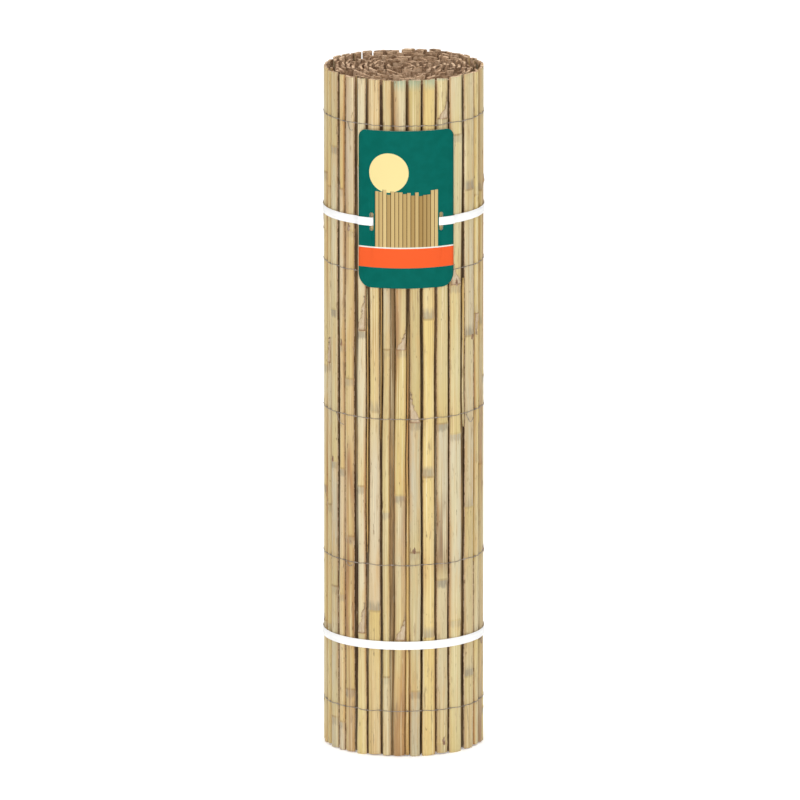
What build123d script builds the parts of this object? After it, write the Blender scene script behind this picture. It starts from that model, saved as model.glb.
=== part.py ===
"""A screen of half-round canes, rolled up, tied with two straps and carrying a card.

The roll stands on its end on the XY plane with its axis on Z, and the card faces -Y.
The screen is an Archimedean spiral seen from above. Its outer end is at the back of the roll,
and the canes are counted from that end inwards, clockwise round the roll.
"""

import os
from math import acos, cos, degrees, pi, radians, sin, sqrt, tan

from build123d import *

# Driving dimensions, in millimetres and degrees

# The screen
cane_length = 1000.0
screen_length = 5000.0
cane_width = 19.8
cane_thickness = 6.0
cane_gap = 2.0
cane_edge = 1.5
flank_run = 1.5
crown_sweep = 60.0
turn_gap = 2.2
core_radius = 12.0
seam_angle = 90.0

# Width of each cane as a share of the mean, counted from the outer end and then repeated
back_widths = [1.03, 0.88, 1.13, 0.96, 1.08, 0.83, 1.18, 0.93, 0.98]
right_widths = [0.83, 0.83, 0.87, 1.39, 1.41, 1.09, 1.08, 1.03]
left_widths = [1.06, 0.84, 1.06, 0.98, 1.05, 0.75, 1.08, 0.74, 0.93, 0.98]
cane_shares = back_widths + right_widths + left_widths

# The binding wire
wire_diameter = 1.0
wire_rows = 5
wire_margin = 67.0
joint_height = 24.0

# The straps
strap_width = 12.0
strap_thickness = 0.7
lower_strap_height = 165.0
upper_strap_drop = 209.0
weld_first_cane = 4
weld_canes = 2

# The card
card_width = 145.0
card_height = 232.0
card_thickness = 0.8
card_below_strap = 97.0
card_angle = -87.0
card_top_corner = 12.0
card_bottom_corner = 20.0
slot_spacing = 103.0
slot_width = 6.0
slot_height = 27.0

# Room between pieces that lie on each other
seat_gap = 0.2

# Sizes that follow from the driving ones

turn_pitch = cane_thickness + turn_gap
outer_radius = sqrt(core_radius**2 + turn_pitch * screen_length / pi)
crown_radius = outer_radius + cane_thickness
wire_pitch = (cane_length - 2 * wire_margin) / (wire_rows - 1)
row_heights = [wire_margin + row * wire_pitch for row in range(wire_rows)]
upper_strap_height = cane_length - upper_strap_drop
card_bottom = upper_strap_height - card_below_strap
over_wire = seat_gap + wire_diameter + seat_gap


def strap_lift(strap_height):
    """Height of a strap above the crowns: on top of the wire, where the strap covers a row of it."""
    reach = (strap_width + wire_diameter) / 2 + seat_gap
    covers_row = any(abs(strap_height - row_height) < reach for row_height in row_heights)
    return over_wire if covers_row else seat_gap


card_lift = max(over_wire, strap_lift(upper_strap_height) + strap_thickness + seat_gap)
over_card = card_lift + card_thickness + seat_gap


def polar(radius, angle):
    """Point of the plan at a radius and an angle."""
    return Vector(radius * cos(radians(angle)), radius * sin(radians(angle)))


def on_screen(run, height=0.0):
    """Point at a length along the screen from its inner end, and a height above its flat side."""
    radius = sqrt(core_radius**2 + turn_pitch * run / pi)
    angle = seam_angle - 360 * (outer_radius - radius) / turn_pitch
    return polar(radius + height, angle)


def on_outer_turn(angle, height):
    """Point of the outer turn at an angle, and a height above the line that wraps the crowns."""
    radius = crown_radius - turn_pitch * (seam_angle - angle) / 360
    return polar(radius + height, angle)


class Cane:
    """Section of one cane: flat towards the axis, with low edges, steep flanks and a round crown."""

    def __init__(self, first_run, last_run):
        self.start = on_screen(first_run)
        self.end = on_screen(last_run)
        self.groove = on_screen(first_run, cane_edge)
        self.along = (self.end - self.start).normalized()
        self.outward = self.along.rotate(Axis.Z, 90)
        self.crown = (self.start + self.end) / 2 + self.outward * cane_thickness
        crown_width = (self.end - self.start).length - cane_gap - 2 * flank_run
        self.shoulder = cane_thickness - crown_width / 2 * tan(radians(crown_sweep / 4))
        self.crown_bend = crown_width / 2 / sin(radians(crown_sweep / 2))
        self.crown_centre = self.crown - self.outward * self.crown_bend

    def at_start(self, inset, height):
        """Point at a distance in from the cane's first edge and a height above its flat."""
        return self.start + self.along * (cane_gap / 2 + inset) + self.outward * height

    def at_end(self, inset, height):
        """Point at a distance in from the cane's second edge and a height above its flat."""
        return self.end - self.along * (cane_gap / 2 + inset) + self.outward * height

    def round_side(self):
        """Edges of the cane's outer side, from its first edge over the crown to its second."""
        first_shoulder = self.at_start(flank_run, self.shoulder)
        last_shoulder = self.at_end(flank_run, self.shoulder)
        return [
            Line(self.at_start(0, cane_edge), first_shoulder),
            ThreePointArc(first_shoulder, self.crown, last_shoulder),
            Line(last_shoulder, self.at_end(0, cane_edge)),
        ]

    def plain_side(self):
        """Corners of the same side with three facets for its crown, from the groove before the cane."""
        crown_arc = self.round_side()[1]
        return [self.groove] + [crown_arc @ share for share in (0, 1 / 3, 2 / 3, 1)]


class Bridge:
    """Straight stretch of a strap from one cane's crown down to a lower one's."""

    def __init__(self, cane, lower_cane):
        apart = cane.crown_centre - lower_cane.crown_centre
        lean = acos((lower_cane.crown_bend - cane.crown_bend) / apart.length)
        self.outward = apart.normalized().rotate(Axis.Z, degrees(lean))
        self.along = self.outward.rotate(Axis.Z, -90)
        self.crown = lower_cane.crown_centre + self.outward * lower_cane.crown_bend
        self.drop = self.outward.get_angle(cane.outward)


def ridge_corner(cane, neighbour, height):
    """Where the straight lines across two crowns meet, at a height above both."""
    first = cane.crown + cane.outward * height
    second = neighbour.crown + neighbour.outward * height
    reach = (second - first).dot(neighbour.outward) / cane.along.dot(neighbour.outward)
    return first + cane.along * reach


# Canes, from the outer end of the screen inwards

canes = []
run = screen_length
while run > cane_width * max(cane_shares):
    next_run = run - cane_width * cane_shares[len(canes) % len(cane_shares)]
    canes.append(Cane(run, next_run))
    run = next_run

turn_run = pi * (outer_radius**2 - (outer_radius - turn_pitch) ** 2) / turn_pitch
outer_count = 0
run = turn_run
while run > 0:
    run -= cane_width * cane_shares[outer_count % len(cane_shares)]
    outer_count += 1
outer_canes = canes[:outer_count]

# A strap lies on every crown up to the cane from which it rises straight to the screen's outer end
half_turn = outer_count // 2
bridges = [Bridge(canes[0], cane) for cane in outer_canes[half_turn:]]
seam_bridge = min(bridges, key=lambda bridge: bridge.drop)
strap_ridges = outer_canes[: half_turn + bridges.index(seam_bridge)] + [seam_bridge]


def taut_loop(height):
    """Corners of a closed strap pulled tight over the crowns, at a height above them."""
    following = strap_ridges[1:] + strap_ridges[:1]
    return [ridge_corner(*pair, height) for pair in zip(strap_ridges, following)]


os.makedirs("parts", exist_ok=True)

# The rolled screen: one wall whose ridges are the canes

# The canes of the outer turn are round. Those inside show only their ends, and have plainer sides.
mat_edges = []
for cane in outer_canes:
    mat_edges += cane.round_side()
for cane, neighbour in zip(outer_canes, outer_canes[1:]):
    mat_edges.append(Line(cane.at_end(0, cane_edge), neighbour.at_start(0, cane_edge)))
inner_corners = [outer_canes[-1].at_end(0, cane_edge)]
for cane in canes[outer_count:]:
    inner_corners += cane.plain_side()
inner_corners.append(canes[-1].at_end(0, cane_edge))
flat_corners = [canes[-1].at_end(0, 0)] + [cane.start for cane in reversed(canes[1:])]
flat_corners += [canes[0].at_start(0, 0), canes[0].at_start(0, cane_edge)]
mat_edges += Polyline(*inner_corners, *flat_corners).edges()

# Between the rows that stay joined, the canes of the outer turn stand apart
joined_rows = row_heights[1::2]
gap_floors = [0.0] + [row + joint_height / 2 for row in joined_rows]
gap_tops = [row - joint_height / 2 for row in joined_rows] + [cane_length]

with BuildSketch() as gap_plan:
    for cane, neighbour in zip(outer_canes, outer_canes[1:]):
        with BuildLine():
            Polyline(
                cane.at_end(0, -seat_gap),
                cane.at_end(0, cane_edge + seat_gap),
                neighbour.at_start(0, cane_edge + seat_gap),
                neighbour.at_start(0, -seat_gap),
                close=True,
            )
        make_face()

with BuildPart() as cane_mat:
    with BuildSketch():
        make_face(mat_edges)
    extrude(amount=cane_length)
    for gap_floor, gap_top in zip(gap_floors, gap_tops):
        with BuildSketch(Plane.XY.offset(gap_floor)):
            add(gap_plan.sketch)
        extrude(amount=gap_top - gap_floor, mode=Mode.SUBTRACT)
cane_mat.part.label = "cane_mat"
export_step(cane_mat.part, "parts/cane_mat.step")

# The binding wire: five rows over the outer turn, each going on under the end of the screen

wired_canes = canes[: outer_count + 1]
wire_pairs = list(zip(wired_canes, wired_canes[1:]))


def wire_side(height):
    """Corners of one side of the wire, at a height above the crowns."""
    corners = [ridge_corner(*pair, height) for pair in wire_pairs]
    start = wired_canes[0].crown + wired_canes[0].outward * height
    end = wired_canes[-1].crown + wired_canes[-1].outward * height
    return [start] + corners + [end]


for row, row_height in enumerate(row_heights, start=1):
    with BuildPart() as binding_wire:
        with BuildSketch(Plane.XY.offset(row_height - wire_diameter / 2)):
            with BuildLine():
                outside = wire_side(seat_gap + wire_diameter)
                inside = wire_side(seat_gap)
                Polyline(*outside, *reversed(inside), close=True)
            make_face()
        extrude(amount=wire_diameter)
    binding_wire.part.label = f"binding_wire_{row}"
    export_step(binding_wire.part, f"parts/binding_wire_{row}.step")

# The lower strap, with its welded overlap at the back

weld_span = slice(weld_first_cane, weld_first_cane + weld_canes + 1)


def strap_outlines(strap_height):
    """Corners of a strap's inside, its outside and its weld."""
    lift = strap_lift(strap_height)
    inside = taut_loop(lift)
    outside = taut_loop(lift + strap_thickness)
    weld_outside = taut_loop(lift + 2 * strap_thickness)
    return inside, outside, weld_outside[weld_span] + outside[weld_span][::-1]


strap_inside, strap_outside, weld_outline = strap_outlines(lower_strap_height)

with BuildPart() as lower_strap:
    with BuildSketch(Plane.XY.offset(lower_strap_height - strap_width / 2)):
        with BuildLine():
            Polyline(*strap_outside, close=True)
        make_face()
        with BuildLine():
            Polyline(*strap_inside, close=True)
        make_face(mode=Mode.SUBTRACT)
        with BuildLine():
            Polyline(*weld_outline, close=True)
        make_face()
    extrude(amount=strap_width)
lower_strap.part.label = "lower_strap"
export_step(lower_strap.part, "parts/lower_strap.step")

# The upper strap: over the side margins of the card, and through its slots to run behind it

card_radius = on_outer_turn(card_angle, card_lift).length
card_half_angle = degrees(card_width / 2 / card_radius)
slot_half_angle = degrees(slot_spacing / 2 / card_radius)
step_angle = degrees(strap_thickness / card_radius)
room_angle = degrees(seat_gap / card_radius)
card_edges = [card_angle - card_half_angle, card_angle + card_half_angle]
slot_angles = [card_angle - slot_half_angle, card_angle + slot_half_angle]


# Each margin runs from the step beside the card's edge to the step in the slot
left_margin = [card_edges[0] - room_angle - step_angle, slot_angles[0]]
right_margin = [slot_angles[1], card_edges[1] + room_angle + step_angle]
strap_reach = 2 * crown_radius
strap_inside, strap_outside, weld_outline = strap_outlines(upper_strap_height)


def margin_outline(first, last):
    """Outline of the strap over a margin of the card, with a step down at both ends."""
    middle = (first + last) / 2
    outside = over_card + strap_thickness
    first_out, first_in = first - step_angle / 2, first + step_angle / 2
    last_in, last_out = last - step_angle / 2, last + step_angle / 2
    top = ThreePointArc(*(on_outer_turn(angle, outside) for angle in (first_out, middle, last_out)))
    under = ThreePointArc(*(on_outer_turn(angle, over_card) for angle in (last_in, middle, first_in)))
    last_foot = [on_outer_turn(angle, -cane_thickness) for angle in (last_out, last_in)]
    first_foot = [on_outer_turn(angle, -cane_thickness) for angle in (first_in, first_out)]
    Polyline(top @ 1, *last_foot, under @ 0)
    Polyline(under @ 1, *first_foot, top @ 0)


with BuildPart() as upper_strap:
    with BuildSketch(Plane.XY.offset(upper_strap_height - strap_width / 2)):
        with BuildLine():
            Polyline(*strap_outside, close=True)
        make_face()
        with BuildLine():
            Polyline(*weld_outline, close=True)
        make_face()
        for first, last in (left_margin, right_margin):
            with BuildLine():
                sides = [polar(strap_reach, first), polar(strap_reach, last)]
                Polyline(Vector(0, 0), *sides, close=True)
            make_face(mode=Mode.SUBTRACT)
            with BuildLine():
                margin_outline(first, last)
            make_face()
        with BuildLine():
            Polyline(*strap_inside, close=True)
        make_face(mode=Mode.SUBTRACT)
    extrude(amount=strap_width)
upper_strap.part.label = "upper_strap"
export_step(upper_strap.part, "parts/upper_strap.step")

# The card, bent round the front of the roll

card_outside = card_radius + card_thickness
card_chord = 2 * card_outside * sin(radians(card_half_angle))
card_facing = Plane((0, 0, card_bottom), x_dir=polar(1, card_angle + 90), z_dir=polar(1, card_angle))

with BuildPart() as label_card:
    with BuildSketch(Plane.XY.offset(card_bottom)):
        with BuildLine():
            bend_angles = (card_edges[0], card_angle, card_edges[1])
            back = ThreePointArc(*(on_outer_turn(angle, card_lift) for angle in bend_angles))
            face = ThreePointArc(*(on_outer_turn(angle, card_lift + card_thickness) for angle in bend_angles))
            Line(back @ 0, face @ 0)
            Line(back @ 1, face @ 1)
        make_face()
    extrude(amount=card_height)
    with BuildSketch(card_facing) as card_outline:
        Rectangle(card_chord, card_height, align=(Align.CENTER, Align.MIN))
        fillet(card_outline.vertices().group_by(Axis.Y)[-1], radius=card_top_corner)
        fillet(card_outline.vertices().group_by(Axis.Y)[0], radius=card_bottom_corner)
    extrude(amount=strap_reach, mode=Mode.INTERSECT)
    for slot_angle in slot_angles:
        slot_place = on_outer_turn(slot_angle, card_lift) + Vector(0, 0, upper_strap_height)
        with BuildSketch(Plane(slot_place, x_dir=(0, 0, 1), z_dir=polar(1, slot_angle))):
            SlotOverall(slot_height, slot_width)
        extrude(amount=2 * card_thickness, both=True, mode=Mode.SUBTRACT)
label_card.part.label = "label_card"
export_step(label_card.part, "parts/label_card.step")
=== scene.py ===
"""A rolled screen of half-round canes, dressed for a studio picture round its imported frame.

Lengths are in metres. The roll's plan is worked out from the same driving sizes as its solids:
an Archimedean spiral of canes, counted from the outer end at the back, clockwise seen from above.
"""
import math
import random

import bmesh
import bpy
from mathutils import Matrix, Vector, geometry, noise


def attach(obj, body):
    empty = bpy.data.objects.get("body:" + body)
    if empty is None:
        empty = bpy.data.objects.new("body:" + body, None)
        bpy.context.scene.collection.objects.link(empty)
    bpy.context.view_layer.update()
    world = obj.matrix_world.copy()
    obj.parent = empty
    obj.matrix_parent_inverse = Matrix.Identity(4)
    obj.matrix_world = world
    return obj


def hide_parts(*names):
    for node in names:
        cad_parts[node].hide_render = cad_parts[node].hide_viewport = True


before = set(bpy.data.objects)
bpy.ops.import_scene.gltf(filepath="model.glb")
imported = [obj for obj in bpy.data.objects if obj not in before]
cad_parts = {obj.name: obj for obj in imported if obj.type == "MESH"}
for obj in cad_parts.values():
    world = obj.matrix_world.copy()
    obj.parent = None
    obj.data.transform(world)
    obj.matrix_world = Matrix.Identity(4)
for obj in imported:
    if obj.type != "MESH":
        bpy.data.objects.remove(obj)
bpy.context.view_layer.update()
dice = random.Random(20)

# Driving sizes of the roll

CANE_LENGTH = 1.0
SCREEN_LENGTH = 5.0
CANE_WIDTH = 0.0198
CANE_THICKNESS = 0.006
CANE_EDGE = 0.0015
TURN_GAP = 0.0022
CORE_RADIUS = 0.012
SEAM_ANGLE = 90.0
BACK_WIDTHS = [1.03, 0.88, 1.13, 0.96, 1.08, 0.83, 1.18, 0.93, 0.98]
RIGHT_WIDTHS = [0.83, 0.83, 0.87, 1.39, 1.41, 1.09, 1.08, 1.03]
LEFT_WIDTHS = [1.06, 0.84, 1.06, 0.98, 1.05, 0.75, 1.08, 0.74, 0.93, 0.98]
CANE_SHARES = BACK_WIDTHS + RIGHT_WIDTHS + LEFT_WIDTHS

WIRE_RADIUS = 0.0005
WIRE_SEAT = 0.001
WIRE_HEIGHTS = [0.067, 0.2835, 0.5, 0.7165, 0.933]
STRAP_WIDTH = 0.012
STRAP_THICKNESS = 0.0007
LOWER_STRAP = 0.165
UPPER_STRAP = 0.791
CARD_WIDTH = 0.145
CARD_HEIGHT = 0.232
CARD_THICKNESS = 0.0008
CARD_BOTTOM = 0.694
CARD_ANGLE = -87.0
CARD_TOP_CORNER = 0.012
CARD_BOTTOM_CORNER = 0.020
SLOT_SPACING = 0.103
SLOT_WIDTH = 0.006
SLOT_HEIGHT = 0.027
SEAT_GAP = 0.0002

TURN_PITCH = CANE_THICKNESS + TURN_GAP
OUTER_RADIUS = math.sqrt(CORE_RADIUS**2 + TURN_PITCH * SCREEN_LENGTH / math.pi)
OUTER_RUN = math.pi * (OUTER_RADIUS**2 - (OUTER_RADIUS - TURN_PITCH) ** 2) / TURN_PITCH
CROWN_RADIUS = OUTER_RADIUS + CANE_THICKNESS
CARD_LIFT = 2 * SEAT_GAP + WIRE_SEAT
OVER_CARD = CARD_LIFT + CARD_THICKNESS + SEAT_GAP

# Heights of the joints that show on the canes at the front, by the cane's number
FRONT_NODES = {
    12: [0.108, 0.359, 0.613, 0.829],
    13: [0.196, 0.472, 0.692, 0.913],
    14: [0.015, 0.259, 0.490, 0.720, 0.940],
    15: [0.175, 0.414, 0.647, 0.880],
    16: [0.096, 0.302, 0.494, 0.750],
    17: [0.172, 0.387, 0.602, 0.860],
    18: [0.117, 0.362, 0.602, 0.845],
    19: [0.215, 0.510, 0.790],
    20: [0.179, 0.397, 0.627, 0.870],
    21: [0.093, 0.320, 0.553, 0.773],
    22: [0.042, 0.232, 0.418, 0.601, 0.831],
    23: [0.046, 0.240, 0.425, 0.650, 0.890],
}
# Canes at the front that are bound in upside down
FLIPPED = {12, 15, 19}
# Width in millimetres of the gap after a cane at the front, at five heights from the floor up
GAP_HEIGHTS = [0.0, 0.2, 0.4, 0.6, 0.95]
FRONT_GAPS = {
    10: [5.0, 6.5, 7.0, 7.0, 5.5],
    12: [7.0, 7.5, 8.5, 9.5, 5.0],
    13: [2.4, 2.5, 2.6, 2.9, 2.4],
    14: [1.6, 2.4, 2.9, 2.9, 2.0],
    15: [2.4, 2.7, 2.4, 3.2, 1.8],
    16: [6.5, 4.2, 4.6, 3.6, 2.4],
    17: [2.0, 6.0, 5.5, 7.0, 1.8],
    18: [1.8, 2.4, 2.4, 5.0, 3.5],
    19: [2.0, 3.5, 5.5, 5.5, 3.5],
    20: [3.5, 6.5, 6.5, 6.5, 5.0],
    21: [1.2, 1.8, 1.4, 1.2, 2.4],
    22: [3.0, 4.5, 7.5, 8.0, 7.0],
    23: [1.5, 1.6, 2.0, 1.6, 2.0],
    24: [5.0, 6.0, 6.5, 6.5, 5.0],
}
# Strips of split cane that lie in a gap: the cane before it, lowest and highest point, widths there
FRONT_SLIVERS = [
    (16, 0.002, 0.660, 0.0062, 0.0014),
    (18, 0.470, 0.760, 0.0012, 0.0022),
    (19, 0.300, 0.690, 0.0024, 0.0016),
    (12, 0.480, 0.700, 0.0020, 0.0040),
]
# How far a faint green wash runs down from the top of some canes
WASHES = {14: 0.004, 15: 0.009, 16: 0.010, 17: 0.010}
# Joints with a scrap of torn leaf sheath, with the side that it clings to, and joints with a bud
SHEATHS = [(14, 4, -1), (17, 0, -1), (17, 2, -1), (20, 0, -1), (20, 2, -1), (16, 2, 1), (13, 2, 1)]
BUDS = [(12, 2), (13, 2), (16, 1), (21, 3), (22, 3), (22, 4), (23, 2), (14, 0)]


def srgb(red, green, blue):
    """Linear colour of an 8-bit screen colour."""
    shares = [value / 255 for value in (red, green, blue)]
    return tuple(s / 12.92 if s <= 0.04045 else ((s + 0.055) / 1.055) ** 2.4 for s in shares) + (1.0,)


def mixed(first, second, share):
    """Colour between two colours."""
    return tuple(a + (b - a) * share for a, b in zip(first, second))


STRAWS = [
    srgb(209, 192, 148),
    srgb(212, 190, 134),
    srgb(203, 190, 152),
    srgb(209, 184, 144),
    srgb(199, 192, 144),
    srgb(213, 197, 152),
    srgb(206, 180, 138),
    srgb(208, 188, 132),
]
BLOOM = srgb(151, 142, 123)
PALE = srgb(206, 198, 174)
FRESH = srgb(211, 188, 121)
STAIN = srgb(160, 112, 76)
NODE_LINE = srgb(118, 88, 62)
# Brown that the canes of the inner turns are darkened towards
INNER_BROWN = srgb(122, 92, 64)
# Painted shade: dark brown that darkens the second turn's canes, which are seen in the outer turn's gaps
PAINTED_SHADE = srgb(58, 40, 28)
WEATHERED = srgb(136, 106, 82)
BARK_EDGE = srgb(176, 124, 72)
WASH = srgb(146, 176, 156)
STAINED = 21
# Stains on canes at the front: the cane, lowest and highest point, strength and colour
FRONT_STAINS = [
    (STAINED, 0.150, 0.470, 0.85, STAIN),
    (14, 0.258, 0.392, 0.85, WEATHERED),
    (19, 0.560, 0.660, 0.35, STAIN),
]


# Plan of the roll


def polar(radius, angle):
    """Point of the plan at a radius and an angle in degrees."""
    return Vector((radius * math.cos(math.radians(angle)), radius * math.sin(math.radians(angle)), 0))


def on_screen(run, height=0.0):
    """Point at a length along the screen from its inner end, and a height above its flat side."""
    radius = math.sqrt(CORE_RADIUS**2 + TURN_PITCH * run / math.pi)
    angle = SEAM_ANGLE - 360 * (OUTER_RADIUS - radius) / TURN_PITCH
    return polar(radius + height, angle)


def on_outer_turn(angle, height):
    """Point of the outer turn at an angle, and a height above the line that wraps the crowns."""
    radius = CROWN_RADIUS - TURN_PITCH * (SEAM_ANGLE - angle) / 360
    return polar(radius + height, angle)


def turned(direction, quarter):
    """Direction of the plan turned by a quarter turn, left for 1 and right for -1."""
    return Vector((-direction.y, direction.x, 0)) * quarter


class Cane:
    """Place of one cane on the spiral, with the ways along the screen and out of the roll."""

    def __init__(self, number, first_run, last_run):
        start = on_screen(first_run)
        end = on_screen(last_run)
        self.number = number
        self.start = first_run
        self.middle = (start + end) / 2
        self.width = (end - start).length
        self.along = (end - start).normalized()
        self.outward = turned(self.along, 1)
        self.crown = self.middle + self.outward * CANE_THICKNESS


def plan_canes():
    """Every cane, from the outer end of the screen inwards."""
    row = []
    run = SCREEN_LENGTH
    while run > CANE_WIDTH * max(CANE_SHARES):
        next_run = run - CANE_WIDTH * CANE_SHARES[len(row) % len(CANE_SHARES)]
        row.append(Cane(len(row), run, next_run))
        run = next_run
    return row


canes = plan_canes()
outer_canes = [cane for cane in canes if cane.start > SCREEN_LENGTH - OUTER_RUN]
inner_canes = canes[len(outer_canes) :]


# Material tools


def new_material(name):
    """A new material, its node tree and its shader."""
    material = bpy.data.materials.new(name)
    material.use_nodes = True
    tree = material.node_tree
    return material, tree, tree.nodes["Principled BSDF"]


def add_node(tree, kind, **settings):
    """A shader node with its settings."""
    made = tree.nodes.new(kind)
    for key, value in settings.items():
        setattr(made, key, value)
    return made


def attribute(tree, name, output):
    """Socket of a mesh attribute."""
    return add_node(tree, "ShaderNodeAttribute", attribute_name=name).outputs[output]


def tree_of(*values):
    """Node tree of the first socket among some values."""
    return next(value.id_data for value in values if hasattr(value, "id_data"))


def give(value, socket):
    """Links a socket to an input, or sets the input to a plain value."""
    if isinstance(value, (int, float, tuple)):
        socket.default_value = value
    else:
        socket.id_data.links.new(value, socket)


def feed(node, **inputs):
    """Gives a node its inputs, named with underscores for spaces."""
    for name, value in inputs.items():
        give(value, node.inputs[name.replace("_", " ")])
    return node


def noise_at(vector, scale, detail=3.0, roughness=0.55):
    """Socket of a noise value, with one scale or with three along the axes."""
    if isinstance(scale, tuple):
        mapping = feed(add_node(tree_of(vector), "ShaderNodeMapping"), Vector=vector, Scale=scale)
        vector, scale = mapping.outputs["Vector"], 1.0
    made = add_node(tree_of(vector), "ShaderNodeTexNoise")
    feed(made, Vector=vector, Scale=scale, Detail=detail, Roughness=roughness)
    return made.outputs["Fac"]


def ramp(value, low, high, to_low=0.0, to_high=1.0):
    """Socket of a value stretched smoothly from one range to another."""
    made = add_node(tree_of(value), "ShaderNodeMapRange", interpolation_type="SMOOTHSTEP")
    feed(made, Value=value, From_Min=low, From_Max=high, To_Min=to_low, To_Max=to_high)
    return made.outputs["Result"]


def math_node(operation, first, second):
    """Socket of a sum on sockets or numbers."""
    made = add_node(tree_of(first, second), "ShaderNodeMath", operation=operation)
    give(first, made.inputs[0])
    give(second, made.inputs[1])
    return made.outputs["Value"]


def blend_colour(share, first, second):
    """Socket of two colours mixed by a share, each a socket or a colour."""
    made = add_node(tree_of(share, first, second), "ShaderNodeMix", data_type="RGBA")
    for value, socket in zip((share, first, second), [s for s in made.inputs if s.enabled]):
        give(value, socket)
    return next(s for s in made.outputs if s.enabled)


def bump_into(shader, height, distance, strength):
    """Gives the shader a bump from a height value."""
    made = add_node(tree_of(height), "ShaderNodeBump")
    feed(made, Height=height, Distance=distance, Strength=strength)
    feed(shader, Normal=made.outputs["Normal"])


def overlay(colour, value, limits, share, other):
    """Socket of a colour that turns by a share into another as a value goes between limits."""
    return blend_colour(ramp(value, *limits, 0, share), colour, other)


# Materials


def skin_material():
    """Waxy cane skin: the cane's own tint with fine fibres, blotches and brown specks along it."""
    material, tree, shader = new_material("cane_skin")
    tint = attribute(tree, "tint", "Color")
    grain = attribute(tree, "grain", "Vector")
    fibres = noise_at(grain, (1500, 1, 9), detail=4)
    streaks = noise_at(grain, (420, 1, 4))
    blotches = noise_at(grain, (90, 1, 16), detail=4)
    specks = noise_at(grain, (330, 1, 70))
    bruises = noise_at(grain, (210, 1, 26), detail=5, roughness=0.65)
    colour = overlay(tint, blotches, (0.45, 0.75), 0.5, srgb(206, 166, 108))
    colour = overlay(colour, streaks, (0.52, 0.70), 0.75, srgb(230, 217, 176))
    colour = overlay(colour, streaks, (0.46, 0.29), 0.7, srgb(182, 148, 100))
    colour = overlay(colour, bruises, (0.57, 0.70), 0.7, srgb(156, 130, 98))
    colour = overlay(colour, bruises, (0.36, 0.26), 0.45, srgb(222, 212, 178))
    colour = overlay(colour, fibres, (0.42, 0.25), 0.5, srgb(146, 112, 74))
    colour = overlay(colour, specks, (0.65, 0.73), 0.65, srgb(112, 82, 58))
    rough = ramp(streaks, 0.3, 0.7, 0.38, 0.58)
    feed(shader, Base_Color=colour, Roughness=rough, Specular_IOR_Level=0.1)
    bump_into(shader, math_node("ADD", fibres, streaks), 0.00025, 0.7)
    return material


def end_material():
    """Sawn cane end and pith: brown, fibrous and rough."""
    material, tree, shader = new_material("cane_end")
    place = add_node(tree, "ShaderNodeTexCoord").outputs["Object"]
    tint = attribute(tree, "tint", "Color")
    clumps = noise_at(place, 160, detail=4)
    pores = noise_at(place, 900)
    chips = add_node(tree, "ShaderNodeTexVoronoi", feature="F1")
    shade = feed(chips, Vector=place, Scale=125).outputs["Color"]
    colour = overlay(srgb(168, 133, 103), clumps, (0.35, 0.65), 1, srgb(228, 192, 159))
    colour = blend_colour(0.2, colour, tint)
    colour = overlay(colour, shade, (0.5, 0.25), 0.55, srgb(110, 80, 57))
    colour = overlay(colour, shade, (0.5, 0.75), 0.5, srgb(234, 204, 172))
    colour = overlay(colour, pores, (0.55, 0.72), 0.6, srgb(226, 200, 172))
    colour = overlay(colour, pores, (0.42, 0.28), 0.75, srgb(82, 56, 38))
    feed(shader, Base_Color=colour, Roughness=0.9, Specular_IOR_Level=0.15)
    bump_into(shader, math_node("ADD", clumps, pores), 0.0012, 0.9)
    return material


def wire_material():
    """Dull galvanised wire with a spangled, slightly tarnished surface."""
    material, tree, shader = new_material("galvanised_wire")
    place = add_node(tree, "ShaderNodeTexCoord").outputs["Object"]
    tarnish = noise_at(place, 260)
    colour = overlay(srgb(118, 106, 96), tarnish, (0.35, 0.65), 1, srgb(170, 158, 147))
    rough = ramp(tarnish, 0.3, 0.7, 0.35, 0.6)
    feed(shader, Base_Color=colour, Roughness=rough, Metallic=0.45)
    return material


def strap_material():
    """White packing strap with a fine pressed pattern."""
    material, tree, shader = new_material("white_strap")
    place = attribute(tree, "grain", "Vector")
    ribs = add_node(tree, "ShaderNodeTexWave", wave_type="BANDS", bands_direction="DIAGONAL")
    feed(ribs, Vector=place, Scale=260)
    scuffs = noise_at(place, (30, 1, 300), detail=4)
    colour = overlay(srgb(251, 251, 250), scuffs, (0.35, 0.7), 1, srgb(244, 244, 243))
    feed(shader, Base_Color=colour, Roughness=ramp(scuffs, 0.3, 0.7, 0.38, 0.55))
    bump_into(shader, ribs.outputs["Fac"], 0.0001, 0.5)
    return material


def sheath_material():
    """Torn dry leaf sheath and bud scales, papery and veined."""
    material, tree, shader = new_material("dry_sheath")
    tint = attribute(tree, "tint", "Color")
    grain = attribute(tree, "grain", "Vector")
    veins = noise_at(grain, (1300, 1, 30))
    stains = noise_at(grain, (260, 1, 160), detail=4)
    colour = overlay(tint, stains, (0.45, 0.7), 0.6, srgb(214, 196, 172))
    colour = overlay(colour, veins, (0.48, 0.3), 0.7, srgb(128, 92, 68))
    feed(shader, Base_Color=colour, Roughness=0.8, Specular_IOR_Level=0.2)
    bump_into(shader, veins, 0.0003, 0.8)
    return material


# The card's print, in metres from the middle of its lower edge
SUN_ACROSS = -0.026
SUN_UP = 0.170
SUN_RADIUS = 0.029
STEM_PITCH = 0.0058
STEM_SHADOW = 0.0009
STEM_TOP = 0.134
STEM_RANGE = 0.012
STAND_HALF = 0.0464
BAND_BOTTOM = 0.030
BAND_TOP = 0.060
BAND_LINE = (0.0585, 0.0605)


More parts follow.
